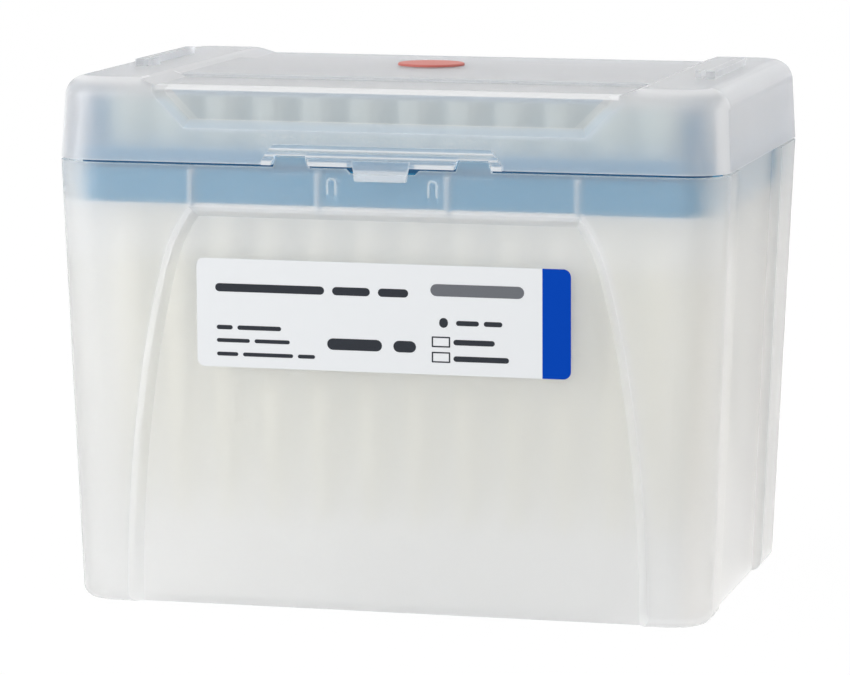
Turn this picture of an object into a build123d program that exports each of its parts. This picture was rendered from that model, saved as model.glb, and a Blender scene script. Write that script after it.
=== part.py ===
from build123d import *

import os
from math import cos, radians, sin, tan

# A hinged, see-through box of filter tips. Millimetres, +Z up, width along X, front face at -Y.
# The origin is under the middle of the box, on the surface that it stands on.

# --- Box: driving sizes -------------------------------------------------------------------
box_length = 123.7  # outside, at the seam
box_depth = 86.0
seam_height = 81.5  # middle of the gap between base and lid
seam_gap = 0.45
wall = 1.2
floor_wall = 1.4
corner_radius = 7.6
base_draft = 2.1  # degrees
foot_radius = 2.2

# --- Lid ----------------------------------------------------------------------------------
lid_height = 15.1  # seam to the end pads
lid_draft = 3.0
lid_edge_radius = 4.0
trough_depth = 1.2  # the top between the end pads lies this much lower
trough_half_length = 42.7  # at its floor
trough_slope_run = 3.4
top_step_height = 0.5  # low step across the middle of the top
top_step_half_depth = 20.0
stack_bar = (1.8, 33.0, 1.25)
stack_bar_x = 53.9
stack_bar_y = 3.0
stack_nib_length = 4.5
stack_nib_gap = 1.2

# --- Window set back in the front of the lid ----------------------------------------------
window_depth = 1.6
window_slope = 45.0
window_bottom_half = 36.9  # half width along the lower edge, on the front face
window_bottom_height = 6.4  # above the seam
window_brow_radius = 2.0  # along the top's edge over the window

# --- Arched panels set back in the front and back of the base -----------------------------
panel_depth = 3.0
panel_slope = 35.0
panel_top = 73.7  # where the ledge leaves the front face
panel_foot_half = 48.5
panel_waist = (44.6, 47.0)  # half width and height of a point on the long arc
panel_shoulder = (40.9, 63.8)
panel_top_half = 36.0
side_panel_depth = 1.8
side_panel_front = -25.7
side_panel_back = 20.4

# --- Rack seats, ribs and pips inside the base --------------------------------------------
rib_places = (-35.6, -11.9, 11.9, 35.6)
rib_width = 0.9
rib_depth = 1.4
rib_top = 80.9
rack_seat_height = 73.9
seat_bearing = 1.8  # how far a rib's foot reaches under the rack
pip_x = 9.3
pip_size = (1.5, 3.7)
pip_bottom = 75.8
pip_depth = 0.5

# --- Rim catches, grip and latch tab ------------------------------------------------------
notch_x = 16.8
notch_bottom_half = 3.9
notch_top_half = 2.9
notch_height = 2.0  # above the seam
rim_tab_gap = 0.25  # all round, between the base's rim tab and the lid's notch
grip_half = 22.1
grip_corner = 2.6
grip_height = 3.7  # above the seam
grip_ridge = 0.9
ridge_pitch = 1.15
ridge_count = 3
latch_top_half = 5.3
latch_bottom_half = 4.65
latch_drop = 2.2  # below the seam
latch_gap = 0.2
latch_wall = 0.9
latch_lip_height = 1.1
rim_dip_half = 6.8
rim_dip_depth = 0.8

# --- Hinge --------------------------------------------------------------------------------
hinge_x = 37.0
hinge_drop = 2.0  # pin axis below the seam
hinge_setback = 0.3  # pin axis inside the back face
pin_radius = 1.0
pin_clearance = 0.05
hook_wall = 0.8
hook_length = 10.0
hook_side_gap = 0.3
hook_mouth = 105.0  # degrees of the ring left open for the snap
hook_rise = 2.4  # the hook's root on the lid, above the seam
cheek_width = 1.8
cheek_proud = 0.6
open_angle = 110.0
stop_clearance = 0.1

# --- Rack ---------------------------------------------------------------------------------
rack_end_gap = 0.5
rack_corner = 5.5
rack_top_height = 84.2
rack_plate = 1.5
rack_wall = 1.2
rack_hole_clearance = 0.15
post_radius = 1.3
post_place = (54.8, 34.4)
post_top = 92.4

# --- Tips and filters ---------------------------------------------------------------------
tip_pitch = 9.0
tip_columns = 12
tip_rows = 8
tip_length = 78.0
collar_length = 9.0
collar_radius = 4.3
neck_radius = 3.75
waist_height = 40.0  # above the point
waist_radius = 2.5
point_radius = 0.75
tip_wall = 0.6
point_wall = 0.32
mouth_radius = 3.7
filter_seat_height = 57.0
filter_length = 6.0
filter_clearance = 0.06

# --- Label and dot ------------------------------------------------------------------------
label_size = (69.3, 19.9)
label_center = (-0.8, 54.05)
label_corner = 1.4
label_thickness = 0.12
dot_radius = 6.3
dot_place = (-4.2, 12.3)
dot_thickness = 0.45

# --- Worked out from the sizes above ------------------------------------------------------
rim = seam_height - seam_gap / 2
lid_edge = seam_height + seam_gap / 2
pad_top = seam_height + lid_height
trough_floor = pad_top - trough_depth
step_top = trough_floor + top_step_height
draft_run = tan(radians(base_draft))
front_face = -box_depth / 2
front_inside = front_face + wall
hinge_y = box_depth / 2 - hinge_setback
hinge_z = seam_height - hinge_drop
hook_radius = pin_radius + pin_clearance + hook_wall
latch_reach = hinge_y + hook_radius  # the lip stands as far out as the hinge does behind
rack_front = front_inside + rib_depth
side_inside = box_length / 2 - side_panel_depth - wall - (rim - rack_seat_height) * draft_run
rack_length = 2 * (side_inside - rack_end_gap)
rack_depth = -2 * rack_front
tip_top = rack_top_height + collar_length
tip_base = tip_top - tip_length


def tapered_block(plane, length, depth, radius, height, draft):
    """Block that narrows away from its sketch plane, its upright edges rounded to one radius."""
    with BuildPart() as block:
        with BuildSketch(plane):
            Rectangle(length, depth)
        extrude(amount=height, taper=draft)
        fillet(block.edges().filter_by(Plane.XY, reverse=True), radius)
    return block.part


def front_plane(half_depth, height, lean, inset=0.0):
    """Plane on the front face through y = -half_depth at that height, inset into the wall.

    A positive lean is a face that runs in towards its foot, a negative one runs in as it rises.
    """
    face = Plane(
        origin=(0, -half_depth, height),
        x_dir=(1, 0, 0),
        z_dir=(0, -cos(radians(lean)), -sin(radians(lean))),
    )
    return face.offset(-inset)


def slope_growth(slope):
    """How far a sloped cut-out's outline moves out, one wall below the face it starts from."""
    return wall / cos(radians(slope)) - wall * tan(radians(slope))


def arch_cutter(inset=0.0, grow=0.0):
    """Space that an arched panel takes from the front face, or from one wall below it."""
    with BuildPart() as cutter:
        with BuildSketch(front_plane(box_depth / 2, rim, base_draft, inset)):
            with BuildLine():
                foot = Line((panel_foot_half, -rim - corner_radius), (panel_foot_half, -rim))
                waist_point = (panel_waist[0], panel_waist[1] - rim)
                waist = TangentArc(foot @ 1, waist_point, tangent=foot % 1)
                shoulder_point = (panel_shoulder[0], panel_shoulder[1] - rim)
                shoulder = TangentArc(waist @ 1, shoulder_point, tangent=waist % 1)
                crown = TangentArc(shoulder @ 1, (panel_top_half, panel_top - rim), tangent=shoulder % 1)
                Line(crown @ 1, (0, panel_top - rim))
                Line((0, -rim - corner_radius), foot @ 0)
                mirror(about=Plane.YZ)
            make_face()
            if grow:
                offset(amount=grow, kind=Kind.INTERSECTION)
        extrude(amount=-panel_depth, taper=panel_slope)
    return cutter.part


def side_panel_cutter(inset=0.0):
    """Space that the right-hand side panel takes, open at the rim and at the foot."""
    lean = radians(base_draft)
    face = Plane(
        origin=(box_length / 2 - inset, 0, rim), x_dir=(0, 1, 0), z_dir=(cos(lean), 0, -sin(lean))
    )
    length = side_panel_back - side_panel_front + 2 * inset
    with BuildPart() as cutter:
        with BuildSketch(face):
            with Locations(((side_panel_front + side_panel_back) / 2, -rim / 2)):
                Rectangle(length, 2 * rim)
        extrude(amount=-side_panel_depth)
        extrude(cutter.faces().sort_by(Axis.X)[-1], amount=corner_radius)
    return cutter.part


def base_form(inset=0.0):
    """The base's outside, or with an inset of one wall the hollow inside it."""
    growth = slope_growth(panel_slope) if inset else 0.0
    bottom = floor_wall if inset else 0.0
    arch = arch_cutter(inset, growth)
    side = side_panel_cutter(inset)
    block = tapered_block(
        Plane.XY.offset(rim),
        box_length - 2 * inset,
        box_depth - 2 * inset,
        corner_radius - inset,
        bottom - rim,
        base_draft,
    )
    with BuildPart() as form:
        add(block)
        fillet(form.faces().sort_by(Axis.Z)[0].edges(), foot_radius - inset / 2)
        add(arch, mode=Mode.SUBTRACT)
        mirror(arch, about=Plane.XZ, mode=Mode.SUBTRACT)
        add(side, mode=Mode.SUBTRACT)
        mirror(side, about=Plane.YZ, mode=Mode.SUBTRACT)
    return form.part


def rack_seats():
    """Ribs inside the front wall, each bent along the ledge into a flat foot for the rack."""
    lean = radians(panel_slope)
    middle = wall / 2
    ledge_face = front_face + (rim - panel_top) * draft_run
    ledge_top = (ledge_face + middle * sin(lean), panel_top + middle * cos(lean))
    ledge_foot = (ledge_top[0] + panel_depth, ledge_top[1] - panel_depth * tan(lean))
    with BuildPart() as seat:
        with BuildSketch(Plane.YZ):
            with BuildLine():
                Polyline(
                    (front_inside - middle, rib_top),
                    (front_inside, rib_top),
                    (rack_front, rib_top - rib_depth),
                    (rack_front, rack_seat_height),
                    (rack_front + seat_bearing, rack_seat_height),
                    (rack_front + seat_bearing, ledge_foot[1]),
                    ledge_foot,
                    ledge_top,
                    close=True,
                )
            make_face()
        extrude(amount=rib_width / 2, both=True)
    with BuildPart() as ribs:
        with Locations(*[(x, 0, 0) for x in rib_places]):
            add(seat.part)
    return ribs.part


def front_outline_cut(points, thickness):
    """Prism of an outline seen from the front, through the front wall only."""
    with BuildPart() as prism:
        with BuildSketch(Plane.XZ.offset(box_depth / 2 - thickness)):
            with BuildLine():
                Polyline(*points, close=True)
            make_face()
        extrude(amount=2 * thickness + latch_reach - box_depth / 2)
    return prism.part


def trapezoid(center, bottom, top, bottom_half, top_half):
    """Corner points of an upright trapezoid."""
    return [
        (center - bottom_half, bottom),
        (center + bottom_half, bottom),
        (center + top_half, top),
        (center - top_half, top),
    ]


# --- Base: one clear moulding with the rack seats, hinge pins and rim catches ---------------
hinge_places = [(-hinge_x, 0, 0), (hinge_x, 0, 0)]
sill_drop = (hook_radius + stop_clearance) / sin(radians(open_angle))
sill = hinge_z - sill_drop
bay_half = hook_length / 2 + hook_side_gap
cheek_bottom = hinge_z - hook_radius - hook_wall
cheek_front = -rack_front + hook_side_gap

with BuildPart() as pip:
    with BuildSketch(Plane.XZ.offset(-front_inside)) as pip_outline:
        with Locations((0, pip_bottom + pip_size[1] / 2)):
            SlotOverall(pip_size[1], pip_size[0], rotation=90)
    extrude(amount=pip_depth, both=True)

with BuildPart() as hinge_bay:
    with BuildSketch(Plane.XZ.offset(-box_depth / 2)):
        with Locations((0, (sill + rim) / 2 + wall)):
            Rectangle(2 * bay_half, rim - sill + 2 * wall)
    extrude(amount=2 * wall, both=True)

with BuildPart() as hinge_cheeks:
    with Locations((bay_half + cheek_width / 2, 0, 0), (-bay_half - cheek_width / 2, 0, 0)):
        with Locations((0, (cheek_front + box_depth / 2 + cheek_proud) / 2, (cheek_bottom + rim) / 2)):
            Box(cheek_width, box_depth / 2 + cheek_proud - cheek_front, rim - cheek_bottom)
    with Locations((0, hinge_y, hinge_z)):
        Cylinder(pin_radius, 2 * (bay_half + cheek_width / 2), rotation=(0, 90, 0))

with BuildPart() as rim_tab:
    tab_top = seam_height + notch_height - rim_tab_gap
    with BuildSketch(Plane.XZ.offset(box_depth / 2)):
        with BuildLine():
            Polyline(
                *trapezoid(
                    0, rim - wall, tab_top, notch_bottom_half - rim_tab_gap, notch_top_half - rim_tab_gap
                ),
                close=True,
            )
        make_face()
    extrude(amount=-wall)

with BuildPart() as base_box:
    add(base_form())
    add(base_form(wall), mode=Mode.SUBTRACT)
    seats = rack_seats()
    add(seats)
    mirror(seats, about=Plane.XZ)
    with Locations((-pip_x, 0, 0), (pip_x, 0, 0)):
        add(pip.part)
    with Locations((-notch_x, 0, 0), (notch_x, 0, 0)):
        add(rim_tab.part)
    dip = trapezoid(0, rim - rim_dip_depth, rim + wall, rim_dip_half - rim_dip_depth, rim_dip_half + wall)
    add(front_outline_cut(dip, 2 * wall), mode=Mode.SUBTRACT)
    with Locations(*hinge_places):
        add(hinge_bay.part, mode=Mode.SUBTRACT)
        add(hinge_cheeks.part)
base_box.part.label = "base_box"


# --- Lid: one clear moulding with the window, grip, latch tab and hinge hooks ---------------
def window_cutter(inset, top_level):
    """Space that the window takes from the lid's front, with a rounded brow at the top's level."""
    foot = window_bottom_height - seam_gap / 2
    rise = pad_top - lid_edge + corner_radius - foot
    outline = trapezoid(0, foot, foot + rise, window_bottom_half, window_bottom_half + rise)
    brow = window_brow_radius - inset
    lean = radians(lid_draft)
    center_z = top_level - brow
    setback = inset + window_depth + brow
    center_y = front_face + (setback + (center_z - lid_edge) * sin(lean)) / cos(lean)
    out = (-2 * brow * cos(lean), 2 * brow * sin(lean))
    with BuildPart() as over_brow:
        with BuildSketch(Plane.YZ):
            with BuildLine():
                Polyline(
                    (center_y, center_z),
                    (center_y + out[0], center_z + out[1]),
                    (center_y + out[0], center_z + out[1] + 2 * brow),
                    (center_y, center_z + 2 * brow),
                    close=True,
                )
            make_face()
            with Locations((center_y, center_z)):
                Circle(brow, mode=Mode.SUBTRACT)
        extrude(amount=window_bottom_half + rise, both=True)
    recesses = []
    for depth in (window_depth + brow, window_depth):
        with BuildPart() as recess:
            with BuildSketch(front_plane(box_depth / 2, lid_edge, -lid_draft, inset)):
                with BuildLine():
                    Polyline(*outline, close=True)
                make_face()
                if inset:
                    offset(amount=slope_growth(window_slope), kind=Kind.INTERSECTION)
            extrude(amount=-depth, taper=window_slope)
        recesses.append(recess.part)
    with BuildPart() as cutter:
        add(over_brow.part)
        add(recesses[0], mode=Mode.INTERSECT)
        add(recesses[1])
    return cutter.part


def lid_form(inset=0.0):
    """The lid's outside, or with an inset of one wall the hollow inside it."""
    top = pad_top - inset
    floor = trough_floor - inset
    window = window_cutter(inset, floor)
    block = tapered_block(
        Plane.XY.offset(lid_edge),
        box_length - 2 * inset,
        box_depth - 2 * inset,
        corner_radius - inset,
        top - lid_edge,
        lid_draft,
    )
    step_half = trough_half_length + trough_slope_run * top_step_height / trough_depth
    step_depth = 2 * top_step_half_depth - inset
    with BuildPart() as form:
        add(block)
        fillet(form.faces().sort_by(Axis.Z)[-1].edges(), lid_edge_radius - inset)
        with BuildSketch(Plane.XZ):
            with BuildLine():
                Polyline(
                    (-trough_half_length, floor),
                    (trough_half_length, floor),
                    (trough_half_length + 2 * trough_slope_run, floor + 2 * trough_depth),
                    (-trough_half_length - 2 * trough_slope_run, floor + 2 * trough_depth),
                    close=True,
                )
            make_face()
        extrude(amount=box_depth, both=True, mode=Mode.SUBTRACT)
        with Locations((0, 0, floor + top_step_height / 2 - wall / 2)):
            Box(2 * step_half, step_depth, top_step_height + wall)
        add(window, mode=Mode.SUBTRACT)
    return form.part


def grip_pad():
    """Ridged thumb grip across the lid's front edge, with its two upper corners cut off."""
    root = front_face + wall / 2
    valley = front_face - grip_ridge / 3
    crest = front_face - grip_ridge
    top = seam_height + grip_height
    profile = [(root, lid_edge), (crest, lid_edge)]
    for ridge in range(ridge_count):
        level = top - (ridge_count - ridge) * ridge_pitch + ridge_pitch / 2
        profile += [(crest, level), (valley, level + ridge_pitch / 2)]
    profile += [(front_face + wall / 3, top + grip_ridge / 3), (root, top)]
    with BuildPart() as pad:
        with BuildSketch(Plane.YZ):
            with BuildLine():
                Polyline(*profile, close=True)
            make_face()
        extrude(amount=grip_half, both=True)
        with BuildSketch(Plane.XZ):
            with BuildLine():
                Polyline(
                    (-grip_half, lid_edge),
                    (grip_half, lid_edge),
                    (grip_half, top - grip_corner),
                    (grip_half - grip_corner, top + grip_ridge),
                    (grip_corner - grip_half, top + grip_ridge),
                    (-grip_half, top - grip_corner),
                    close=True,
                )
            make_face()
        extrude(amount=box_depth, mode=Mode.INTERSECT)
    return pad.part


def latch_tab():
    """Tongue that hangs in front of the base's rim, thicker along its lip."""
    back = front_face - latch_gap
    face = back - latch_wall
    bottom = seam_height - latch_drop
    with BuildPart() as tab:
        with BuildSketch(Plane.YZ):
            with BuildLine():
                Polyline(
                    (back, bottom),
                    (back, lid_edge),
                    (front_face + wall / 2, lid_edge),
                    (front_face + wall / 2, lid_edge + ridge_pitch),
                    (front_face - grip_ridge, lid_edge + ridge_pitch),
                    (face, lid_edge - latch_gap),
                    (face, bottom + latch_lip_height + latch_gap),
                    (-latch_reach, bottom + latch_lip_height),
                    (-latch_reach, bottom),
                    close=True,
                )
            make_face()
        extrude(amount=latch_top_half, both=True)
        with BuildSketch(Plane.XZ):
            with BuildLine():
                Polyline(
                    *trapezoid(0, bottom, lid_edge + ridge_pitch, latch_bottom_half, latch_top_half),
                    close=True,
                )
            make_face()
        extrude(amount=box_depth, mode=Mode.INTERSECT)
    return tab.part


def hook_outline(*steps):
    """Closed outline on the hook's section plane, as steps back and up from the pin's axis."""
    return Polyline(*[(hinge_y + back, hinge_z + up) for back, up in steps], close=True)


with BuildPart() as hinge_hook:
    hook_root = seam_height + hook_rise - hinge_z
    mouth = 2 * hook_radius
    half_mouth = mouth * tan(radians(hook_mouth / 2))
    with BuildSketch(Plane.YZ):
        with Locations((hinge_y, hinge_z)):
            Circle(hook_radius)
        with BuildLine():
            hook_outline(
                (-hook_wall, 0),
                (hook_radius, 0),
                (hook_radius, hook_root - hook_radius),
                (hinge_setback - wall / 2, hook_root),
                (-hook_wall, hook_root),
            )
        make_face()
        with Locations((hinge_y, hinge_z)):
            Circle(pin_radius + pin_clearance, mode=Mode.SUBTRACT)
        with BuildLine():
            hook_outline((0, 0), (half_mouth, -mouth), (-half_mouth, -mouth))
        make_face(mode=Mode.SUBTRACT)
    extrude(amount=hook_length / 2, both=True)

with BuildPart() as stack_rail:
    with Locations((stack_bar_x, stack_bar_y, pad_top)):
        Box(stack_bar[0], stack_bar[1], 2 * stack_bar[2])
    nib_x = stack_bar_x - stack_bar[0] / 2 - stack_nib_gap
    nib_y = stack_bar_y - stack_bar[1] / 2 + stack_nib_length / 2
    with Locations((nib_x, nib_y, pad_top)):
        Box(stack_bar[0] / 2, stack_nib_length, 2 * stack_bar[2])

with BuildPart() as lid:
    add(lid_form())
    add(stack_rail.part)
    mirror(stack_rail.part, about=Plane.YZ)
    add(lid_form(wall), mode=Mode.SUBTRACT)
    add(grip_pad())
    add(latch_tab())
    for side in (-notch_x, notch_x):
        notch = trapezoid(
            side, lid_edge - wall, seam_height + notch_height, notch_bottom_half, notch_top_half
        )
        add(front_outline_cut(notch, 2 * wall), mode=Mode.SUBTRACT)
    with Locations(*hinge_places):
        add(hinge_hook.part)
lid.part.label = "lid"


# --- Rack: plate with a skirt, one hole per tip, and four lifting posts ---------------------
with BuildPart() as tip_rack:
    with BuildSketch(Plane.XY.offset(rack_seat_height)):
        RectangleRounded(rack_length, rack_depth, rack_corner)
    extrude(amount=rack_top_height - rack_seat_height)
    fillet(tip_rack.faces().sort_by(Axis.Z)[-1].edges(), rack_wall / 2)
    with BuildSketch(Plane.XY.offset(rack_seat_height)):
        RectangleRounded(
            rack_length - 2 * rack_wall, rack_depth - 2 * rack_wall, rack_corner - rack_wall
        )
    extrude(amount=rack_top_height - rack_plate - rack_seat_height, mode=Mode.SUBTRACT)
    with Locations((0, 0, rack_top_height)):
        with GridLocations(tip_pitch, tip_pitch, tip_columns, tip_rows):
            Hole(neck_radius + rack_hole_clearance, depth=2 * rack_plate)
    with BuildSketch(Plane.XY.offset(rack_top_height - rack_plate / 2)):
        with GridLocations(2 * post_place[0], 2 * post_place[1], 2, 2):
            Circle(post_radius)
    extrude(amount=post_top - rack_top_height + rack_plate / 2)
tip_rack.part.label = "tip_rack"


# --- Tips and the filters inside them, a row at a time --------------------------------------
def bore_radius(height):
    """Radius of a tip's bore, at a height above its point."""
    shoulder = tip_length - collar_length
    share = (height - waist_height) / (shoulder - waist_height)
    return waist_radius - tip_wall + share * (neck_radius - waist_radius)


with BuildPart() as tip:
    with BuildSketch(Plane.XZ):
        with BuildLine():
            Polyline(
                (point_radius, tip_base),
                (waist_radius, tip_base + waist_height),
                (neck_radius, tip_top - collar_length),
                (collar_radius, tip_top - collar_length),
                (collar_radius, tip_top),
                (mouth_radius, tip_top),
                (neck_radius - tip_wall, tip_top - collar_length),
                (waist_radius - tip_wall, tip_base + waist_height),
                (point_radius - point_wall, tip_base),
                close=True,
            )
        make_face()
    revolve(axis=Axis.Z)

with BuildPart() as filter_plug:
    with BuildSketch(Plane.XZ):
        low = filter_seat_height
        high = low + filter_length
        with BuildLine():
            Polyline(
                (0, tip_base + low),
                (bore_radius(low) - filter_clearance, tip_base + low),
                (bore_radius(high) - filter_clearance, tip_base + high),
                (0, tip_base + high),
                close=True,
            )
        make_face()
    revolve(axis=Axis.Z)


def tip_row(row, piece):
    """Twelve copies of a piece along one row of the rack, counted from the back."""
    y = (tip_rows - 1 - 2 * row) / 2 * tip_pitch
    with BuildPart() as pieces:
        with Locations((0, y, 0)):
            with GridLocations(tip_pitch, tip_pitch, tip_columns, 1):
                add(piece)
    return pieces.part


# --- Label on the front panel, and the coloured dot on the lid ------------------------------
with BuildPart() as front_label:
    with BuildSketch(front_plane(box_depth / 2, rim, base_draft, panel_depth)):
        with Locations((label_center[0], label_center[1] - rim)):
            RectangleRounded(*label_size, label_corner)
    extrude(amount=label_thickness)
front_label.part.label = "front_label"

with BuildPart() as indicator_dot:
    with BuildSketch(Plane.XY.offset(step_top)):
        with Locations(dot_place):
            Circle(dot_radius)
    extrude(amount=dot_thickness)
    fillet(indicator_dot.faces().sort_by(Axis.Z)[-1].edges(), dot_thickness / 2)
indicator_dot.part.label = "indicator_dot"


# --- Write one file per piece ---------------------------------------------------------------
os.makedirs("parts", exist_ok=True)
for piece in (base_box, lid, tip_rack, front_label, indicator_dot):
    export_step(piece.part, f"parts/{piece.part.label}.step")
for row, letter in enumerate("abcdefgh"[:tip_rows]):
    tips = tip_row(row, tip.part)
    tips.label = f"tips_row_{letter}"
    export_step(tips, f"parts/{tips.label}.step")
    filters = tip_row(row, filter_plug.part)
    filters.label = f"filters_row_{letter}"
    export_step(filters, f"parts/{filters.label}.step")
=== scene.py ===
"""Finishes, print, studio and camera for a hinged, see-through box of filter tips."""

from __future__ import annotations

import logging
import math
from dataclasses import dataclass, field
from enum import Enum
from typing import Iterator, Mapping, Optional, Sequence, Union

import bmesh
import bpy
from mathutils import Matrix, Vector

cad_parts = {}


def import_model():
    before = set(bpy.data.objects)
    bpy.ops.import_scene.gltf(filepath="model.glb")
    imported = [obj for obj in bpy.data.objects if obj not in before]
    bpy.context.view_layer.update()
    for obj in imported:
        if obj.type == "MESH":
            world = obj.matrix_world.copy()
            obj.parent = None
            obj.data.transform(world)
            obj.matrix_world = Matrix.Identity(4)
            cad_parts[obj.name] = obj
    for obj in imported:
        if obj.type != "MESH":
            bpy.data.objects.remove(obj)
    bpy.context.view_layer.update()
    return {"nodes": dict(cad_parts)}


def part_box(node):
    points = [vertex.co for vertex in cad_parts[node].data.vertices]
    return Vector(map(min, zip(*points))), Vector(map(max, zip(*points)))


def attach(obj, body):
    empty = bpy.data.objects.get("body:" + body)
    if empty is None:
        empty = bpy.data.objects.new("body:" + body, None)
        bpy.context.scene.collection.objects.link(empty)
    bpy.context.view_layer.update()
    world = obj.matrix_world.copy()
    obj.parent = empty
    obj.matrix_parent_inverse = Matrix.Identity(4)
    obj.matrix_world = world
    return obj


LOG = logging.getLogger("tip_box")

MM = 0.001
FRONT = -43 * MM  # the box's front face, at the seam
SEAM = 81.5 * MM  # the level at which the lid meets the base
LEAN = math.radians(2.1)  # how far the base's walls lean in below the seam
INDEX = 1.49  # the plastics' refractive index
WHITE = (1.0, 1.0, 1.0)

Triple = tuple[float, float, float]
Colour = Triple
# Two ends: a zone's, or those at which a ramp leaves 0 and reaches 1.
Pair = tuple[float, float]
Term = Union["Signal", bpy.types.NodeSocket, float, Sequence[float]]


class Body(Enum):
    """The two bodies that the box's pieces ride on."""

    BASE = "base"
    LID = "lid"


class Slot(Enum):
    """The record's material slots."""

    CLEAR = "clear_plastic"
    LID = "lid_plastic"
    RACK = "rack_plastic"
    TIP = "tip_plastic"
    FILTER = "filter_core"
    LABEL = "label_film"
    DOT = "dot_film"


class Signal:
    """One shader output, whose operators add Math nodes to its graph."""

    def __init__(self, graph: ShaderGraph, socket: bpy.types.NodeSocket) -> None:
        """Keep the graph and the output socket that this signal stands for."""
        self.graph = graph
        self.socket = socket

    def math(self, operation: str, *terms: Term) -> Signal:
        """Add a Math node over this signal and other terms."""
        inputs = dict(enumerate((self, *terms)))
        return self.graph.signal("ShaderNodeMath", {"operation": operation}, inputs)

    def _after(self, operation: str, term: Term) -> Signal:
        """Add a Math node whose first input is the other term."""
        settings = {"operation": operation}
        return self.graph.signal("ShaderNodeMath", settings, {0: term, 1: self})

    def __add__(self, term: Term) -> Signal:
        """Return the sum."""
        return self.math("ADD", term)

    def __radd__(self, term: Term) -> Signal:
        """Return the sum."""
        return self._after("ADD", term)

    def __sub__(self, term: Term) -> Signal:
        """Return the difference."""
        return self.math("SUBTRACT", term)

    def __rsub__(self, term: Term) -> Signal:
        """Return the other term less this signal."""
        return self._after("SUBTRACT", term)

    def __mul__(self, term: Term) -> Signal:
        """Return the product."""
        return self.math("MULTIPLY", term)

    def __rmul__(self, term: Term) -> Signal:
        """Return the product."""
        return self._after("MULTIPLY", term)

    def __truediv__(self, term: Term) -> Signal:
        """Return the quotient."""
        return self.math("DIVIDE", term)

    def __rtruediv__(self, term: Term) -> Signal:
        """Return the other term divided by this signal."""
        return self._after("DIVIDE", term)

    def __gt__(self, term: Term) -> Signal:
        """Return 1 where this signal is the greater, else 0."""
        return self.math("GREATER_THAN", term)

    def __lt__(self, term: Term) -> Signal:
        """Return 1 where this signal is the smaller, else 0."""
        return self.math("LESS_THAN", term)

    def __abs__(self) -> Signal:
        """Return the size without the sign."""
        return self.math("ABSOLUTE")

    def either(self, other: Term) -> Signal:
        """Return the greater of the two."""
        return self.math("MAXIMUM", other)

    def within(self, low: float, high: float) -> Signal:
        """Return 1 between the two values, else 0."""
        return (self > low) * (self < high)

    def around(self, middle: float, spread: float) -> Signal:
        """Return the middle, off by the spread times what this noise is off one half."""
        return middle + spread * (self - 0.5)

    def ramp(self, low: float, high: float) -> Signal:
        """Rise smoothly from 0 at low to 1 at high.

        Args:
            low: The value at which the result leaves 0.
            high: The value at which the result reaches 1; below low, it falls instead.

        Returns:
            The smoothed share.
        """
        settings = {"interpolation_type": "SMOOTHSTEP"}
        inputs = {"Value": self, "From Min": low, "From Max": high}
        return self.graph.signal("ShaderNodeMapRange", settings, inputs)


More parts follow.
